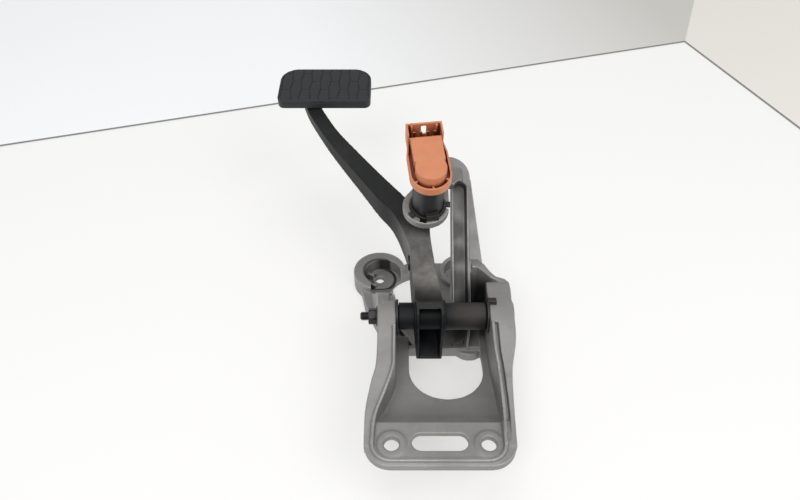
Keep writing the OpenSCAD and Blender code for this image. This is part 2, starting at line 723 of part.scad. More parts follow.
// Switch pieces
module tray_outline(in) {
    r = housing_w / 2 - in;
    circle(r);
    translate([-r, 0]) square([2 * r, tray_shoulder]);
    polygon([[-r, tray_shoulder - 1], [r, tray_shoulder - 1],
             [socket_w / 2 - in, socket_near], [socket_w / 2 - in, socket_far - in],
             [-socket_w / 2 + in, socket_far - in], [-socket_w / 2 + in, socket_near]]);
}
module socket_outline(in) translate([-socket_w / 2 + in, socket_near + in])
    square([socket_w - 2 * in, socket_far - socket_near - 2 * in]);
module cover_outline(in) {
    circle(cover_r - in);
    translate([-(cover_w / 2 - in), 8]) square([cover_w - 2 * in, cover_far - 8 - in]);
    translate([-(cover_r - in) * 0.9, 0]) square([(cover_r - in) * 1.8, 10]);
}
module switch_housing() color(orange) on_face() at_switch() translate([housing_off, 0, barrel_up]) {
    difference() {
        union() {
            linear_extrude(tray_t) tray_outline(0);
            linear_extrude(tray_rim) difference() {
                tray_outline(0);
                tray_outline(tray_wall);
            }
            linear_extrude(socket_h) socket_outline(0);
        }
        translate([0, 0, tray_t]) linear_extrude(socket_h) socket_outline(tray_wall);
        translate([-housing_off, 0, -1]) cylinder(h = tray_t + 2, r = barrel_in_r);
        translate([-socket_w / 2 + tray_wall, socket_near - 1, near_wall_h])
            cube([socket_w - 2 * tray_wall, tray_wall + 2, socket_h]);
        translate([-window[0] / 2, socket_far - tray_wall - 1, window_up])
            cube([window[0], tray_wall + 2, window[1]]);
        for (x = pin_x) translate([x - pin_w / 2 - pin_fit, socket_near + pin_back - pin_fit, -1])
            cube([pin_w + 2 * pin_fit, pin_t + 2 * pin_fit, tray_t + 2]);
    }
    for (x = [-11, 11]) {
        translate([x - 0.8, socket_far - 5, tray_t]) cube([1.6, 4, socket_h - tray_t]);
        translate([x - spike[0] / 2, socket_far - 3, tray_t]) cube([spike[0], spike[0], socket_h - tray_t + spike[1]]);
    }
    for (a = [-90, -150, -30]) rotate([0, 0, a]) translate([cover_r + 0.3, -0.9, tray_t])
        cube([housing_w / 2 - cover_r - 1, 1.8, tray_rim - tray_t]);
}
module switch_cover() color(orange) on_face() at_switch() translate([housing_off, 0, barrel_up + tray_t])
    difference() {
        linear_extrude(cover_h) cover_outline(0);
        translate([0, 0, -1]) linear_extrude(cover_h + 1 - cover_roof) cover_outline(cover_t);
    }
module switch_barrel() color(black_plastic) on_face() at_switch() difference() {
    translate([0, 0, -barrel_low]) cylinder(h = barrel_up + barrel_low, r = barrel_r);
    translate([0, 0, -barrel_low + barrel_wall])
        cylinder(h = seat_z + barrel_low - barrel_wall, r = barrel_in_r);
    translate([0, 0, seat_z + seat_t]) cylinder(h = barrel_up, r = barrel_in_r);
    translate([0, 0, -barrel_low - 1]) cylinder(h = barrel_up + barrel_low, r = stem_r + stem_fit);
}

// Clip that locks the barrel in the keyed hole
module barrel_clip() color(black_plastic) on_face() at_switch() difference() {
    union() {
        translate([0, 0, -carrier_t - clip_flange]) {
            cylinder(h = carrier_t + clip_flange + 1, r = barrel_r + clip_wall);
            cylinder(h = clip_flange, r = barrel_r + clip_wall + clip_over);
        }
        for (a = key_angles) rotate([0, 0, a])
            translate([barrel_r, -key_w / 2, seat_gap]) cube([key_len, key_w, key_h]);
        translate([-3.5, -barrel_r - 4.8, seat_gap]) cube(latch);
    }
    translate([0, 0, -carrier_t - clip_flange - 1])
        cylinder(h = barrel_up + carrier_t, r = barrel_r + clip_fit);
}

collar_z = -barrel_low + barrel_wall + plunger_travel + end_gap;
module switch_plunger() color(black_plastic) on_face() at_switch() {
    translate([0, 0, stem_tip + 2]) cylinder(h = collar_z - stem_tip - 2, r = stem_r);
    translate([0, 0, stem_tip + 2]) intersection() {
        sphere(r = stem_r);
        translate([-stem_r, -stem_r, -2]) cube([2 * stem_r, 2 * stem_r, 3]);
    }
    translate([0, 0, collar_z]) cylinder(h = collar_t, r = collar_r);
    translate([0, 0, collar_z]) cylinder(h = bridge_z - collar_z, r = stem_top_r);
}

// Compression spring: a wire ring swept along a helix
module plunger_spring() color(steel) on_face() at_switch() {
    sides = 6;
    steps = 24 * spring_turns;
    z0 = collar_z + collar_t + spring_wire;
    rise = seat_z - spring_wire - z0;
    points = [for (i = [0 : steps]) for (k = [0 : sides - 1])
        let (t = i / steps, a = 360 * spring_turns * t, b = 360 * k / sides)
        let (r = spring_r + spring_wire * cos(b))
        [r * cos(a), r * sin(a), z0 + rise * t + spring_wire * sin(b)]];
    faces = concat(
        [[for (k = [0 : sides - 1]) k]],
        [for (i = [0 : steps - 1]) for (k = [0 : sides - 1])
            let (n = (k + 1) % sides)
            [i * sides + k, (i + 1) * sides + k, (i + 1) * sides + n, i * sides + n]],
        [[for (k = [sides - 1 : -1 : 0]) steps * sides + k]]);
    polyhedron(points, faces);
}

module contact_bridge() color(brass) on_face() at_switch()
    translate([-bridge_half, -contact_w / 2, bridge_z]) cube([2 * bridge_half, contact_w, strip_t]);

module fixed_contacts() color(brass) on_face() at_switch() for (side = [0, 1]) mirror([side, 0, 0]) {
    x_out = barrel_in_r - 0.5;
    top_z = bridge_z - plunger_travel - end_gap;
    translate([x_out - strip_t, -contact_w / 2, seat_z + seat_t])
        cube([strip_t, contact_w, barrel_up + 4 - seat_z - seat_t]);
    translate([stem_top_r + 1.5, -contact_w / 2, top_z - strip_t])
        cube([x_out - stem_top_r - 1.6, contact_w, strip_t]);
}

module connector_pins() color(brass) on_face() at_switch() for (x = pin_x)
    translate([housing_off + x - pin_w / 2, socket_near + pin_back, barrel_up]) cube([pin_w, pin_t, pin_len]);

bracket();
pedal_arm();
pivot_tube();
pivot_spacer();
left_bush();
right_bush();
pivot_bolt();
pivot_nut();
pushrod_sleeve();
pad_plate();
rubber_pad();
switch_housing();
switch_cover();
switch_barrel();
barrel_clip();
switch_plunger();
plunger_spring();
contact_bridge();
fixed_contacts();
connector_pins();
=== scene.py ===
# Looks for the brake pedal assembly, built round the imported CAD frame
import json
import math
import random

import bpy
import numpy as np
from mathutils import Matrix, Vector, noise


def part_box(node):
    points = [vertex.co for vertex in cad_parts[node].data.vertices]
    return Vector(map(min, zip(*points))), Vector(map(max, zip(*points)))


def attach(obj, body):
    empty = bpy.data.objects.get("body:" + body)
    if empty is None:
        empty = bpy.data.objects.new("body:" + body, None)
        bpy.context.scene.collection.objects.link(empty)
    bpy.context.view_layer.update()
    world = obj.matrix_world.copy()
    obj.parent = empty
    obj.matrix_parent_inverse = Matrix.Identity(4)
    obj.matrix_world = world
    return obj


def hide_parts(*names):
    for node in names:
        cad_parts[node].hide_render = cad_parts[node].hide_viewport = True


mm = 0.001
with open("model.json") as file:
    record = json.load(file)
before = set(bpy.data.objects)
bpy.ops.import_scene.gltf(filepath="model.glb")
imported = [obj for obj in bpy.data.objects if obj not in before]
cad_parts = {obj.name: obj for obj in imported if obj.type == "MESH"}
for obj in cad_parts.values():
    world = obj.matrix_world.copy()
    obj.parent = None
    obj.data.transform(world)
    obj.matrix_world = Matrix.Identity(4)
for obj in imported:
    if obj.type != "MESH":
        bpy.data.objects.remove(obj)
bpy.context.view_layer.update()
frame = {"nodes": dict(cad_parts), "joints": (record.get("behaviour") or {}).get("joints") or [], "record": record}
joints = {j["name"]: j for j in frame["joints"]}
pivotAt = Vector(joints["pedal_pivot"]["pos_m"])
bodyOf = {n: b for b, nodes in frame["record"]["behaviour"]["bodies"].items() for n in nodes}
slotOf = {s["node"]: s["material_slot"] for s in frame["record"]["subparts"]}


# Point in the frame from millimetres counted from the middle of the pivot axis
def fromPivot(x, y, z):
    return pivotAt + Vector((x, y, z)) * mm


# Materials

def newMaterial(name, base, roughness, metallic=0.0, coat=0.0, specular=0.5):
    mat = bpy.data.materials.new(name)
    mat.use_nodes = True
    shader = mat.node_tree.nodes["Principled BSDF"]
    shader.inputs["Base Color"].default_value = (*base, 1)
    shader.inputs["Roughness"].default_value = roughness
    shader.inputs["Metallic"].default_value = metallic
    shader.inputs["Coat Weight"].default_value = coat
    shader.inputs["Specular IOR Level"].default_value = specular
    return mat, mat.node_tree, shader


def addNode(tree, kind, inputs=(), **settings):
    node = tree.nodes.new(kind)
    for key, value in settings.items():
        setattr(node, key, value)
    for key, value in dict(inputs).items():
        if isinstance(value, bpy.types.NodeSocket):
            tree.links.new(value, node.inputs[key])
        else:
            node.inputs[key].default_value = value
    return node


def noiseField(tree, scale, detail=6.0, rough=0.6, stretch=(1, 1, 1), distort=0.0):
    coords = addNode(tree, "ShaderNodeTexCoord")
    mapped = addNode(tree, "ShaderNodeMapping", {"Vector": coords.outputs["Object"], "Scale": stretch})
    found = addNode(tree, "ShaderNodeTexNoise",
                    {"Vector": mapped.outputs[0], "Scale": scale, "Detail": detail, "Roughness": rough,
                     "Distortion": distort})
    return found.outputs["Fac"]


def ramp(tree, value, stops):
    found = addNode(tree, "ShaderNodeValToRGB", {"Fac": value})
    points = found.color_ramp.elements
    while len(points) < len(stops):
        points.new(0.5)
    for point, (place, colour) in zip(points, stops):
        point.position = place
        point.color = (*colour, 1)
    return found.outputs["Color"]


def grey(v):
    return (v, v, v)


def mixColour(tree, factor, a, b, mode="MIX"):
    found = addNode(tree, "ShaderNodeMix", data_type="RGBA", blend_type=mode)
    for key, value in (("Factor", factor), ("A", a), ("B", b)):
        place = [s for s in found.inputs if s.name == key and s.enabled][0]
        if isinstance(value, bpy.types.NodeSocket):
            tree.links.new(value, place)
        else:
            place.default_value = value if isinstance(value, (int, float)) else (*value, 1)
    return [s for s in found.outputs if s.enabled][0]


def mathNode(tree, operation, a, b=0.0, clamp=False):
    found = addNode(tree, "ShaderNodeMath", {0: a, 1: b}, operation=operation, use_clamp=clamp)
    return found.outputs[0]


# layers: (height socket, strength, distance in metres), laid over each other
def addBump(tree, shader, layers):
    last = None
    for height, strength, distance in layers:
        bump = addNode(tree, "ShaderNodeBump", {"Height": height, "Strength": strength, "Distance": distance})
        if last:
            tree.links.new(last, bump.inputs["Normal"])
        last = bump.outputs["Normal"]
    tree.links.new(last, shader.inputs["Normal"])


# Thin broken lines: a narrow band of a stretched noise, kept where a second noise is high
def scratchField(tree, scale, width, stretch, turn):
    coords = addNode(tree, "ShaderNodeTexCoord")
    mapped = addNode(tree, "ShaderNodeMapping",
                     {"Vector": coords.outputs["Object"], "Rotation": turn, "Scale": stretch})
    lines = addNode(tree, "ShaderNodeTexNoise", {"Vector": mapped.outputs[0], "Scale": scale, "Detail": 2.0})
    near = mathNode(tree, "ABSOLUTE", mathNode(tree, "SUBTRACT", lines.outputs["Fac"], 0.5))
    band = mathNode(tree, "LESS_THAN", near, width)
    patches = noiseField(tree, scale * 0.6, 2.0)
    return mathNode(tree, "MULTIPLY", band, mathNode(tree, "GREATER_THAN", patches, 0.56))


# Edge wear from the vertex attribute made by edgeWear, broken up by a fine and a coarse noise
def wearField(tree, low, high):
    edge = addNode(tree, "ShaderNodeAttribute", attribute_name="wear")
    broken = noiseField(tree, 420, 5.0, 0.7)
    patchy = mathNode(tree, "MULTIPLY", noiseField(tree, 38, 3.0), 0.6)
    speckled = mathNode(tree, "MULTIPLY", broken, 0.35)
    both = mathNode(tree, "SUBTRACT", mathNode(tree, "ADD", edge.outputs["Fac"], speckled),
                    mathNode(tree, "SUBTRACT", patchy, 0.3))
    found = addNode(tree, "ShaderNodeMapRange",
                    {"Value": both, "From Min": low, "From Max": high, "To Min": 0.0, "To Max": 1.0})
    return found.outputs[0]


# 1 on open faces, falling to 0 deep in a hollow, within the distance in metres; the materials use it to paint shade
# into hollows
def openness(tree, distance, low, high):
    found = addNode(tree, "ShaderNodeAmbientOcclusion", {"Distance": distance}, samples=6)
    share = addNode(tree, "ShaderNodeMapRange", {"Value": found.outputs["AO"], "From Min": low, "From Max": high})
    return share.outputs[0]


# 1 inside a ball about a point in millimetres from the pivot, fading to 0 at its edge
def ballZone(tree, at, inner, outer):
    coords = addNode(tree, "ShaderNodeTexCoord")
    away = addNode(tree, "ShaderNodeVectorMath", {0: coords.outputs["Object"], 1: tuple(fromPivot(*at))},
                   operation="DISTANCE")
    share = addNode(tree, "ShaderNodeMapRange",
                    {"Value": away.outputs["Value"], "From Min": inner * mm, "From Max": outer * mm,
                     "To Min": 1.0, "To Max": 0.0}, interpolation_type="SMOOTHSTEP")
    return share.outputs[0]


# 1 in an upright ring about a point in millimetres from the pivot: between two radii, below a height
# and clear of the underside
def ringZone(tree, at, inner, outer, top):
    coords = addNode(tree, "ShaderNodeTexCoord")
    flat = addNode(tree, "ShaderNodeVectorMath", {0: coords.outputs["Object"], 1: (1, 1, 0)}, operation="MULTIPLY")
    centre = fromPivot(*at, 0)
    away = addNode(tree, "ShaderNodeVectorMath", {0: flat.outputs[0], 1: (centre.x, centre.y, 0)},
                   operation="DISTANCE")
    height = addNode(tree, "ShaderNodeSeparateXYZ", {"Vector": coords.outputs["Object"]})
    inside = None
    for value, low, high in ((away.outputs["Value"], inner, inner + 1.2),
                             (away.outputs["Value"], outer + 0.6, outer),
                             (height.outputs["Z"], top, top - 2), (height.outputs["Z"], 2, 4)):
        share = addNode(tree, "ShaderNodeMapRange", {"Value": value, "From Min": low * mm, "From Max": high * mm})
        inside = mathNode(tree, "MULTIPLY", inside, share.outputs[0]) if inside else share.outputs[0]
    return inside


# shade lists zones of painted shade, trench is a ring of painted shade in the left ear, and the hollow tone darkens
# hollows as painted shade
castLook = {"base": (0.32, 0.313, 0.3), "dark": (0.19, 0.181, 0.17), "bright": (0.62, 0.61, 0.59),
            "roughness": 0.5, "metallic": 0.45, "grain": 900.0, "hollow": 0.03, "hollowShade": 0.5,
            "black": (0.012, 0.013, 0.014),
            "shade": [((40, 28, -24), 20, 36, 0.96), ((20, 40, -48), 14, 34, 0.8), ((18, 46, -14), 6, 26, 0.5),
                      ((-38, 66, -70), 8, 26, 0.55), ((16, 124, 66), 16, 44, 0.2),
                      ((15, 92, 18), 5, 15, 0.6), ((16, 74, 3), 5, 15, 0.6), ((16, 56, -13), 5, 15, 0.6),
                      ((30, 104, 44), 10, 22, 0.3), ((31, 86, 29), 10, 22, 0.25), ((32, 68, 14), 10, 22, 0.25)],
            "trenchShade": [((-57.5, 111.5), 14.0, 17.4, 21.0)]}


def castMetal():
    look = castLook
    mat, tree, shader = newMaterial("castMetal", look["base"], look["roughness"], look["metallic"])
    cloud = noiseField(tree, 16, 5.0, 0.6)
    stain = noiseField(tree, 55, 6.0, 0.65, distort=0.6)
    fine = noiseField(tree, look["grain"], 3.0, 0.6)
    colour = mixColour(tree, ramp(tree, cloud, [(0.35, grey(0.0)), (0.7, grey(0.55))]), look["base"], look["dark"])
    colour = mixColour(tree, ramp(tree, stain, [(0.55, grey(0.0)), (0.75, grey(0.4))]), colour, (0.2, 0.178, 0.155))
    colour = mixColour(tree, ramp(tree, fine, [(0.3, grey(0.12)), (0.7, grey(0.0))]), colour, look["dark"])
    wear = wearField(tree, 0.46, 0.95)
    marks = scratchField(tree, 90, 0.0022, (1, 0.25, 1), (0, 0, 0.7))
    worn = mathNode(tree, "ADD", mathNode(tree, "MULTIPLY", wear, 0.62), mathNode(tree, "MULTIPLY", marks, 0.22),
                    clamp=True)
    colour = mixColour(tree, worn, colour, look["bright"])
    # Painted shade: hollows and deep pockets darken towards a dark tone
    hollowShadeColour = tuple(look["hollowShade"] * v for v in look["dark"])
    colour = mixColour(tree, openness(tree, look["hollow"], 0.01, 0.24), hollowShadeColour, colour)
    coords = addNode(tree, "ShaderNodeTexCoord")
    facing = addNode(tree, "ShaderNodeSeparateXYZ", {"Vector": coords.outputs["Normal"]})
    inward = addNode(tree, "ShaderNodeMapRange", {"Value": facing.outputs["X"], "From Min": 0.45, "From Max": 0.2})
    # Painted shade: each zone darkens the colour towards black inside a ball about a point
    for at, inner, outer, strength in look["shade"]:  # kept off the outside of the right cheek
        share = mathNode(tree, "MULTIPLY", ballZone(tree, at, inner, outer), strength)
        share = mathNode(tree, "MULTIPLY", share, inward.outputs[0])
        colour = mixColour(tree, share, colour, look["black"])
    # Painted shade: the trench round the left ear's stud is darkened towards black
    for at, inner, outer, top in look["trenchShade"]:
        share = mathNode(tree, "MULTIPLY", ringZone(tree, at, inner, outer, top), 0.9)
        colour = mixColour(tree, share, colour, look["black"])
    tree.links.new(colour, shader.inputs["Base Color"])
    rough = ramp(tree, stain, [(0.3, grey(0.44)), (0.75, grey(0.62))])
    tree.links.new(mixColour(tree, worn, rough, grey(0.33)), shader.inputs["Roughness"])
    addBump(tree, shader, [(fine, 0.18, 0.0002), (noiseField(tree, 130, 4.0, 0.6), 0.22, 0.0006)])
    return mat


# Black coated steel; worn is the colour where the coat has rubbed thin. The zones are painted reflection (lighter
# patches) and painted shade (darker patches), and hollows are darkened as painted shade
def coatedSteel(name, base, worn, roughness, streak=(1, 1, 1), lightAndShadeZones=(), specular=0.2):
    mat, tree, shader = newMaterial(name, base, roughness, specular=specular)
    cloud = noiseField(tree, 28, 6.0, 0.65, streak)
    fine = noiseField(tree, 700, 3.0)
    edge = wearField(tree, 0.5, 1.0)
    rubbed = ramp(tree, cloud, [(0.48, grey(0.0)), (0.78, grey(0.75))])
    colour = mixColour(tree, rubbed, base, worn)
    colour = mixColour(tree, mathNode(tree, "MULTIPLY", edge, 0.4), colour, tuple(2.2 * v for v in worn))
    # Painted reflection and painted shade: each zone tints a patch lighter or darker
    for at, inner, outer, tone in lightAndShadeZones:
        patches = ramp(tree, cloud, [(0.34, grey(0.35)), (0.58, grey(1))])
        share = mathNode(tree, "MULTIPLY", ballZone(tree, at, inner, outer), patches)
        colour = mixColour(tree, share, colour, tone)
    # Painted shade: hollows darken to near black
    colour = mixColour(tree, openness(tree, 0.04, 0.12, 0.66), (0.003, 0.0034, 0.004), colour)
    tree.links.new(colour, shader.inputs["Base Color"])
    tree.links.new(ramp(tree, cloud, [(0.3, grey(roughness - 0.08)), (0.7, grey(roughness + 0.12))]),
                   shader.inputs["Roughness"])
    addBump(tree, shader, [(fine, 0.1, 0.0001), (noiseField(tree, 160, 4.0), 0.12, 0.0004)])
    return mat


def mouldedPlastic(name, base, shade, roughness, grain=1100.0, subsurface=0.0, deep=(0.006, 0.006, 0.006)):
    mat, tree, shader = newMaterial(name, base, roughness)
    shader.inputs["Subsurface Weight"].default_value = subsurface
    shader.inputs["Subsurface Radius"].default_value = (0.004, 0.0016, 0.0008)
    shader.inputs["Subsurface Scale"].default_value = 0.5
    cloud = noiseField(tree, 90, 4.0)
    fine = noiseField(tree, grain, 2.0)
    colour = mixColour(tree, ramp(tree, cloud, [(0.4, grey(0.0)), (0.75, grey(0.5))]), base, shade)
    # Painted shade: hollows darken towards the deep colour
    colour = mixColour(tree, openness(tree, 0.012, 0.1, 0.62), deep, colour)
    tree.links.new(colour, shader.inputs["Base Color"])
    tree.links.new(ramp(tree, fine, [(0.3, grey(roughness - 0.06)), (0.7, grey(roughness + 0.08))]),
                   shader.inputs["Roughness"])
    addBump(tree, shader, [(fine, 0.12, 0.0001), (cloud, 0.08, 0.0005)])
    return mat


# Steel with fine turning lines round the X axis
def turnedSteel(name, base, roughness, metallic=1.0, stretch=(60, 1, 1)):
    mat, tree, shader = newMaterial(name, base, roughness, metallic)
    rings = noiseField(tree, 25, 5.0, 0.6, stretch)
    spots = noiseField(tree, 120, 5.0)
    tree.links.new(mixColour(tree, ramp(tree, spots, [(0.4, grey(0.0)), (0.8, grey(0.6))]), base,
                             tuple(0.45 * v for v in base)), shader.inputs["Base Color"])
    tree.links.new(ramp(tree, rings, [(0.3, grey(roughness - 0.1)), (0.7, grey(roughness + 0.12))]),
                   shader.inputs["Roughness"])
    addBump(tree, shader, [(rings, 0.15, 0.0001)])
    return mat


def padRubber():
    mat, tree, shader = newMaterial("padRubber", (0.03, 0.031, 0.033), 0.55, specular=0.35)
    shader.inputs["Sheen Weight"].default_value = 0.15
    cloud = noiseField(tree, 60, 5.0, 0.65)
    fine = noiseField(tree, 1500, 2.0)
    dust = mathNode(tree, "MULTIPLY", wearField(tree, 0.55, 1.1), 0.35)
    colour = mixColour(tree, ramp(tree, cloud, [(0.35, grey(0.0)), (0.75, grey(0.5))]),
                       (0.015, 0.0158, 0.0175), (0.025, 0.026, 0.0295))
    colour = mixColour(tree, dust, colour, (0.075, 0.077, 0.082))
    # Painted shade: hollows darken to near black
    tree.links.new(mixColour(tree, openness(tree, 0.004, 0.3, 0.9), (0.004, 0.004, 0.005), colour),
                   shader.inputs["Base Color"])
    tree.links.new(ramp(tree, cloud, [(0.3, grey(0.48)), (0.7, grey(0.68))]), shader.inputs["Roughness"])
    addBump(tree, shader, [(fine, 0.2, 0.0001), (noiseField(tree, 240, 3.0), 0.1, 0.0003)])
    return mat


materials = {
    "casting": castMetal(),
    # On the arm and the tube, the lighter zones are painted reflection and the darker zones are painted shade
    "coated_steel": coatedSteel("coatedSteel", (0.012, 0.0125, 0.0125), (0.03, 0.029, 0.028), 0.42,
                                lightAndShadeZones=[((-11, 50, 24), 22, 52, (0.21, 0.2, 0.185)),
                                       ((-11, -20, -12), 18, 34, (0.007, 0.0085, 0.011))]),
    "tube_steel": coatedSteel("tubeSteel", (0.008, 0.009, 0.011), (0.03, 0.028, 0.027), 0.42, (0.4, 1, 1),
                              lightAndShadeZones=[((24, -2, 14), 8, 25, (0.05, 0.045, 0.041)),
                                     ((-11, -8, 8), 10, 14, (0.003, 0.0035, 0.004))], specular=0.14),
    "plain_steel": turnedSteel("plainSteel", (0.055, 0.056, 0.056), 0.38),
    "dark_steel": turnedSteel("darkSteel", (0.035, 0.035, 0.037), 0.42, 0.6),
    "bush_plastic": mouldedPlastic("bushPlastic", (0.016, 0.016, 0.017), (0.026, 0.026, 0.027), 0.48),
    "pad_rubber": padRubber(),
    # The orange's deep colour, a dark red, is painted shade in its hollows
    "orange_plastic": mouldedPlastic("orangePlastic", (0.64, 0.238, 0.113), (0.55, 0.188, 0.083), 0.42, subsurface=0.1,
                                     deep=(0.22, 0.03, 0.018)),
    "black_plastic": mouldedPlastic("blackPlastic", (0.018, 0.018, 0.019), (0.03, 0.03, 0.03), 0.4),
    "contact_brass": turnedSteel("contactBrass", (0.62, 0.42, 0.17), 0.3),
    "spring_steel": turnedSteel("springSteel", (0.4, 0.4, 0.41), 0.28),
}
for name, obj in frame["nodes"].items():
    obj.data.materials.clear()
    obj.data.materials.append(materials[slotOf[name]])
print("materials", len(materials))


# Mesh helpers

# Links a new piece, gives it its material and makes it ride on a body
def place(obj, body, slot, node=None):
    if obj.name not in bpy.context.scene.collection.objects:
        bpy.context.scene.collection.objects.link(obj)
    obj.data.materials.clear()
    obj.data.materials.append(materials[slot])
    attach(obj, body)
    if node:
        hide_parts(node)
    return obj


def meshObject(name, verts, faces, smooth=True):
    mesh = bpy.data.meshes.new(name)
    mesh.from_pydata([tuple(v) for v in verts], [], faces)
    mesh.validate()
    for p in mesh.polygons:
        p.use_smooth = smooth
    return bpy.data.objects.new(name, mesh)


# Applies modifiers, each (kind, settings), one after another
def baked(obj, *steps):
    for kind, settings in steps:
        modifier = obj.modifiers.new(kind, kind)
        for key, value in settings.items():
            setattr(modifier, key, value)
    bpy.context.view_layer.update()
    shown = obj.evaluated_get(bpy.context.evaluated_depsgraph_get())
    mesh = bpy.data.meshes.new_from_object(shown)
    obj.modifiers.clear()
    old = obj.data
    obj.data = mesh
    bpy.data.meshes.remove(old)
    return obj


# Stores how convex each vertex is, 0 to 1, as the attribute wear
def edgeWear(obj, blur=2):
    mesh = obj.data
    count = len(mesh.vertices)
    co = np.empty(count * 3, np.float32)
    mesh.vertices.foreach_get("co", co)
    co = co.reshape(-1, 3)
    normals = np.empty(count * 3, np.float32)
    mesh.vertex_normals.foreach_get("vector", normals)
    normals = normals.reshape(-1, 3)
    ends = np.empty(len(mesh.edges) * 2, np.int32)
    mesh.edges.foreach_get("vertices", ends)
    a, b = ends.reshape(-1, 2).T
    span = co[b] - co[a]
    length = np.maximum(np.linalg.norm(span, axis=1), 1e-9)
    bend = np.zeros(count)
    links = np.zeros(count)
    np.add.at(bend, a, -(span * normals[a]).sum(1) / length)
    np.add.at(bend, b, (span * normals[b]).sum(1) / length)
    np.add.at(links, a, 1)
    np.add.at(links, b, 1)
    bend /= np.maximum(links, 1)
    for _ in range(blur):
        total = bend.copy()
        np.add.at(total, a, bend[b])
        np.add.at(total, b, bend[a])
        bend = total / (links + 1)
    wear = np.clip(bend * 4.5, 0, 1).astype(np.float32)
    mesh.attributes.new("wear", "FLOAT", "POINT").data.foreach_set("value", wear)


# Stands for a CAD node: its own mesh with rounded edges. voxel is in millimetres; share is the part of the
# remeshed triangles that is kept
def softened(node, voxel, rounds, share):
    source = frame["nodes"][node]
    mesh = source.data.copy()
    mesh.materials.clear()
    piece = bpy.data.objects.new(node + "_form", mesh)
    bpy.context.scene.collection.objects.link(piece)
    steps = [("WELD", {"merge_threshold": 1e-6}),
             ("REMESH", {"mode": "VOXEL", "voxel_size": voxel * mm, "adaptivity": 0.0}),
             ("SMOOTH", {"factor": 0.5, "iterations": rounds})]
    baked(piece, *steps)
    edgeWear(piece)
    if share < 1:
        baked(piece, ("DECIMATE", {"decimate_type": "COLLAPSE", "ratio": share}))
    for p in piece.data.polygons:
        p.use_smooth = True
    return place(piece, bodyOf[node], slotOf[node], node)


# Vertices and faces of a profile of (along X, radius) pairs turned round the X axis
def lathe(profile, sides=48, closed=False):
    verts, faces = [], []
    for x, r in profile:
        for i in range(sides):
            a = 2 * math.pi * i / sides
            verts.append((x, r * math.cos(a), r * math.sin(a)))
    rows = len(profile)
    for j in range(rows if closed else rows - 1):
        k = (j + 1) % rows
        for i in range(sides):
            n = (i + 1) % sides
            faces.append((j * sides + i, j * sides + n, k * sides + n, k * sides + i))
    if not closed:
        faces.append(tuple(range(sides)))
        faces.append(tuple((rows - 1) * sides + i for i in reversed(range(sides))))
    return verts, faces


# Hexagon head whose corners are turned off at both ends: a round cone cuts the flats near each face
def hexLathe(x0, x1, across, sides=72):
    apothem = across / 2
    corner = across / math.sqrt(3)
    levels = [0, 0.25, 0.5, 0.75, 1]
    stations = [x0] + [x0 + (corner - apothem) * 0.55 * t for t in levels]
    stations += [x1 - (corner - apothem) * 0.55 * (1 - t) for t in levels] + [x1]
    verts, faces = [], []
    for x in stations:
        cone = apothem * 0.96 + min(x - x0, x1 - x) / 0.55
        for i in range(sides):
            a = 2 * math.pi * i / sides
            flat = apothem / math.cos((a + math.pi / 6) % (math.pi / 3) - math.pi / 6)
            r = min(flat, cone, corner)
            verts.append((x, r * math.cos(a), r * math.sin(a)))
    for j in range(len(stations) - 1):
        for i in range(sides):
            n = (i + 1) % sides
            faces.append((j * sides + i, j * sides + n, (j + 1) * sides + n, (j + 1) * sides + i))
    faces.append(tuple(range(sides)))
    faces.append(tuple((len(stations) - 1) * sides + i for i in reversed(range(sides))))
    return verts, faces


# External thread: a helical grid whose radius runs between root and crest
def threadMesh(x0, x1, crest, pitch, sides=36):
    root = crest - 0.61 * pitch
    shape = [(0, root), (0.125, root), (0.44, crest), (0.56, crest), (0.875, root)]
    turns = (x1 - x0) / pitch
    steps = int(turns * sides)
    verts, faces = [], []
    for i in range(steps + 1):
        a = 2 * math.pi * i / sides
        for f, r in shape:
            x = x0 + pitch * (i / sides + f - 1)
            run = min(1, max(0, (x - x0) / (0.8 * pitch)), max(0, (x1 - x) / (0.8 * pitch)))
            x = min(max(x, x0), x1)
            r = root + (r - root) * run
            verts.append((x, r * math.cos(a), r * math.sin(a)))
    m = len(shape)
    for i in range(steps):
        for k in range(m):
            if k < m - 1:
                faces.append((i * m + k, i * m + k + 1, (i + 1) * m + k + 1, (i + 1) * m + k))
            elif i + sides < steps:
                faces.append((i * m + k, (i + sides) * m, (i + sides + 1) * m, (i + 1) * m + k))
    return verts, faces


# One list of vertices and faces from several
def joined(parts):
    verts, faces = [], []
    for v, f in parts:
        base = len(verts)
        verts += v
        faces += [tuple(i + base for i in face) for face in f]
    return verts, faces


# Millimetres about an origin to metres in the frame
def scaled(part, origin):
    verts, faces = part
    return [tuple(origin + Vector(v) * mm) for v in verts], faces


# Bracket, arm, pad and switch bodies: the CAD forms with cast, pressed or moulded edges

formLook = {"bracket": (0.6, 12, 0.12), "pedal_arm": (0.8, 9, 0.4), "rubber_pad": (0.45, 3, 0.4),
            "switch_housing": (0.4, 2, 0.5), "switch_cover": (0.45, 3, 0.4), "switch_barrel": (0.6, 2, 0.4),
            "barrel_clip": (0.4, 2, 0.5), "pivot_tube": (0.8, 2, 0.4), "left_bush": (0.5, 2, 0.4),
            "right_bush": (0.5, 2, 0.4)}
for node, (voxel, rounds, share) in formLook.items():
    softened(node, voxel, rounds, share)
print("forms", len(formLook))

# Pivot bolt and nut

boltLook = {"pitch": 1.25, "crest": 4.0, "threadLength": 34.0, "washerR": 9.0, "washerT": 1.6, "headAcross": 13.0,
            "headH": 6.5}


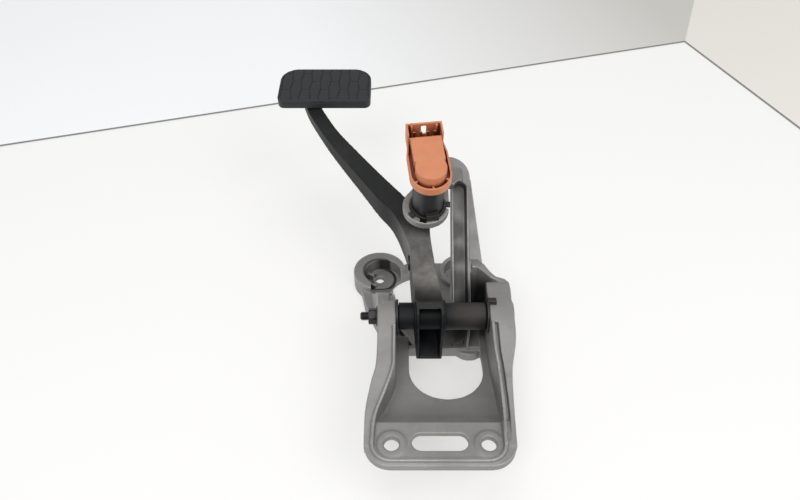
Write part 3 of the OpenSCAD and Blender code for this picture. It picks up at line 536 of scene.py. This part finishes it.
def pivotBolt():
    look = boltLook
    low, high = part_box("pivot_bolt")
    tip = (low.x - pivotAt.x) / mm
    headEnd = (high.x - pivotAt.x) / mm
    seat = headEnd - look["headH"]
    root = look["crest"] - 0.61 * look["pitch"]
    endThread = tip + look["threadLength"]
    shank = lathe([(tip, 0.2), (tip, root - 0.7), (tip + 0.9, root), (endThread, root),
                   (endThread + 0.5, look["crest"]), (seat, look["crest"])])
    thread = threadMesh(tip + 0.6, endThread, look["crest"], look["pitch"])
    washer = lathe([(seat, look["crest"] - 0.1), (seat, look["washerR"] - 0.3), (seat + 0.3, look["washerR"]),
                    (seat + look["washerT"] - 0.4, look["washerR"]), (seat + look["washerT"], look["washerR"] - 0.5),
                    (seat + look["washerT"], look["crest"] - 0.1)])
    head = hexLathe(seat + look["washerT"] - 0.05, headEnd, look["headAcross"])
    verts, faces = scaled(joined([shank, thread, washer, head]), pivotAt)
    bolt = meshObject("pivot_bolt_form", verts, faces)
    bolt.data.set_sharp_from_angle(angle=math.radians(35))
    place(bolt, bodyOf["pivot_bolt"], "dark_steel", "pivot_bolt")


def pivotNut():
    look = boltLook
    low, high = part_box("pivot_nut")
    out, seat = (low.x - pivotAt.x) / mm, (high.x - pivotAt.x) / mm
    flange = lathe([(seat, 4.3), (seat, look["washerR"] - 0.1), (seat - 0.5, look["washerR"]),
                    (seat - 1.0, look["washerR"] - 0.2), (seat - 1.6, 7.6), (seat - 1.6, 4.3)], closed=True)
    body = hexLathe(out, seat - 1.2, look["headAcross"])
    collar = lathe([(out + 0.6, 4.1), (out, 4.6), (out, 5.3), (out + 0.6, 5.6)])
    verts, faces = scaled(joined([flange, body, collar]), pivotAt)
    nut = meshObject("pivot_nut_form", verts, faces)
    nut.data.set_sharp_from_angle(angle=math.radians(35))
    place(nut, bodyOf["pivot_nut"], "plain_steel", "pivot_nut")


pivotBolt()
pivotNut()
print("bolt and nut")

# Weld beads where the arm meets the tube

weldLook = {"tubeR": 11.75, "left": -22.3, "right": 0.8, "bead": 2.1, "ripples": 46, "from": -35, "to": 215}


def weldBead(name, x, side):
    look = weldLook
    random.seed(len(name))
    verts, faces = [], []
    steps, ring = 180, 10
    for i in range(steps + 1):
        a = math.radians(look["from"] + (look["to"] - look["from"]) * i / steps)
        ends = min(1, 8 * min(i, steps - i) / steps + 0.25)
        swell = 1 + 0.16 * abs(math.sin(look["ripples"] * a / 2)) + 0.08 * noise.noise(Vector((9 * a, x, 0)))
        r = look["bead"] * swell * ends
        for k in range(ring):
            b = 2 * math.pi * k / ring
            radius = look["tubeR"] + 0.6 + r * 0.75 * math.sin(b)
            verts.append((x + side * 0.3 + r * 0.8 * math.cos(b), radius * math.cos(a), radius * math.sin(a)))
    for i in range(steps):
        for k in range(ring):
            n = (k + 1) % ring
            faces.append((i * ring + k, (i + 1) * ring + k, (i + 1) * ring + n, i * ring + n))
    faces += [tuple(reversed(range(ring))), tuple(steps * ring + k for k in range(ring))]
    verts, faces = scaled((verts, faces), pivotAt)
    place(meshObject(name, verts, faces), bodyOf["pedal_arm"], "coated_steel")


weldBead("weld_left", weldLook["left"], -1)
weldBead("weld_right", weldLook["right"], 1)
print("welds")

# Floor, walls and light

# backCornerShade is the back wall's painted shade near the corner; floorGlow and wallGlow are painted light
roomLook = {"corner": (0.4535, 0.557), "turn": 16.7, "reach": 6.0, "rise": 0.1, "slopes": (0.2, 0.25), "seam": 0.0022,
            "floor": (0.48, 0.475, 0.462), "backWall": (0.95, 0.95, 0.95), "backCornerShade": (0.585, 0.565, 0.52),
            "rightWall": (0.80, 0.765, 0.70), "seamColour": (0.22, 0.22, 0.215), "floorGlow": 0.49, "wallGlow": 0.09,
            "sky": (0.95, 0.97, 1.0), "skyStrength": 0.46}


# Pale paint that changes from one colour to another with the distance along the object's X axis (on the back wall,
# painted shade towards the corner), and glows a little as painted light, as a bright room fills its own shadows
def paleMaterial(name, near, far, reach, glow=0.0):
    mat, tree, shader = newMaterial(name, near, 0.7)
    coords = addNode(tree, "ShaderNodeTexCoord")
    along = addNode(tree, "ShaderNodeSeparateXYZ", {"Vector": coords.outputs["Object"]})
    share = addNode(tree, "ShaderNodeMapRange", {"Value": along.outputs["X"], "From Min": 0.0, "From Max": reach})
    cloud = noiseField(tree, 1.7, 3.0)
    mixed = mixColour(tree, share.outputs[0], near, far)
    tree.links.new(mixColour(tree, ramp(tree, cloud, [(0.35, grey(0.0)), (0.75, grey(0.12))]), mixed,
                             tuple(0.85 * v for v in far)), shader.inputs["Base Color"])
    shader.inputs["Emission Color"].default_value = (1.0, 0.995, 0.985, 1)
    shader.inputs["Emission Strength"].default_value = glow
    return mat


def quad(name, corners, mat):
    piece = meshObject(name, corners, [(0, 1, 2, 3)], smooth=False)
    bpy.context.scene.collection.objects.link(piece)
    piece.location = (*roomLook["corner"], 0)
    piece.rotation_euler = (0, 0, math.radians(roomLook["turn"]))
    piece.data.materials.append(mat)


# Floor with a back and a right wall: X runs along the back wall, from the corner at 0 to the left.
# The walls lean far back and stay low, so that they fill the picture and hide nothing from behind
def buildRoom():
    look = roomLook
    far, rise, gap = look["reach"], look["rise"], look["seam"]
    back, side = (rise / slope for slope in look["slopes"])
    floor = paleMaterial("paleFloor", look["floor"], look["floor"], 1, look["floorGlow"])
    seam = paleMaterial("seam", look["seamColour"], look["seamColour"], 1)
    quad("floor", [(-far, -far, 0), (0, -far, 0), (0, 0, 0), (-far, 0, 0)], floor)
    quad("back_wall", [(-far, 0, gap), (0, 0, gap), (side, back, rise), (-far, back, rise)],
         # Painted shade: the back wall darkens towards the corner
         paleMaterial("backWall", look["backCornerShade"], look["backWall"], -0.62, 0.05))
    quad("right_wall", [(0, 0, gap), (0, -far, gap), (side, -far, rise), (side, back, rise)],
         paleMaterial("rightWall", look["rightWall"], look["rightWall"], 1, look["wallGlow"]))
    quad("back_seam", [(-far, -gap, gap / 2), (0, -gap, gap / 2), (0, 0, gap), (-far, 0, gap)], seam)
    quad("right_seam", [(-gap, 0, gap / 2), (-gap, -far, gap / 2), (0, -far, gap), (0, 0, gap)], seam)


def areaLight(name, at, aim, size, power, colour=(1, 1, 1)):
    data = bpy.data.lights.new(name, "AREA")
    data.shape, data.size, data.energy, data.color = "DISK", size, power, colour
    lamp = bpy.data.objects.new(name, data)
    lamp.location = at
    lamp.rotation_euler = (Vector(aim) - Vector(at)).to_track_quat("-Z", "Y").to_euler()
    bpy.context.scene.collection.objects.link(lamp)


lampLook = {"front_left": ((-0.5, -1.45, 1.75), 0.9, 15.0), "front_right": ((1.0, -0.95, 1.7), 1.3, 13.0),
            "above": ((-0.2, 0.1, 2.2), 1.6, 9.0)}


def buildLight():
    world = bpy.data.worlds.new("world")
    bpy.context.scene.world = world
    world.use_nodes = True
    world.node_tree.nodes["Background"].inputs["Color"].default_value = (*roomLook["sky"], 1)
    world.node_tree.nodes["Background"].inputs["Strength"].default_value = roomLook["skyStrength"]
    for name, (at, size, power) in lampLook.items():
        areaLight(name, at, (0, -0.05, 0.05), size, power)


cameraLook = {"at": (-0.0223, -0.4915, 0.513), "pitch": 43.4, "lens": 30.0}


def buildCamera():
    data = bpy.data.cameras.new("camera")
    data.lens = cameraLook["lens"]
    data.sensor_width = 36
    data.clip_start, data.clip_end = 0.01, 50
    camera = bpy.data.objects.new("camera", data)
    camera.location = cameraLook["at"]
    camera.rotation_euler = (math.radians(90 - cameraLook["pitch"]), 0, 0)
    bpy.context.scene.collection.objects.link(camera)
    bpy.context.scene.camera = camera


buildRoom()
buildLight()
buildCamera()
bpy.context.scene.view_settings.view_transform = "Standard"
print("stage, light and camera")
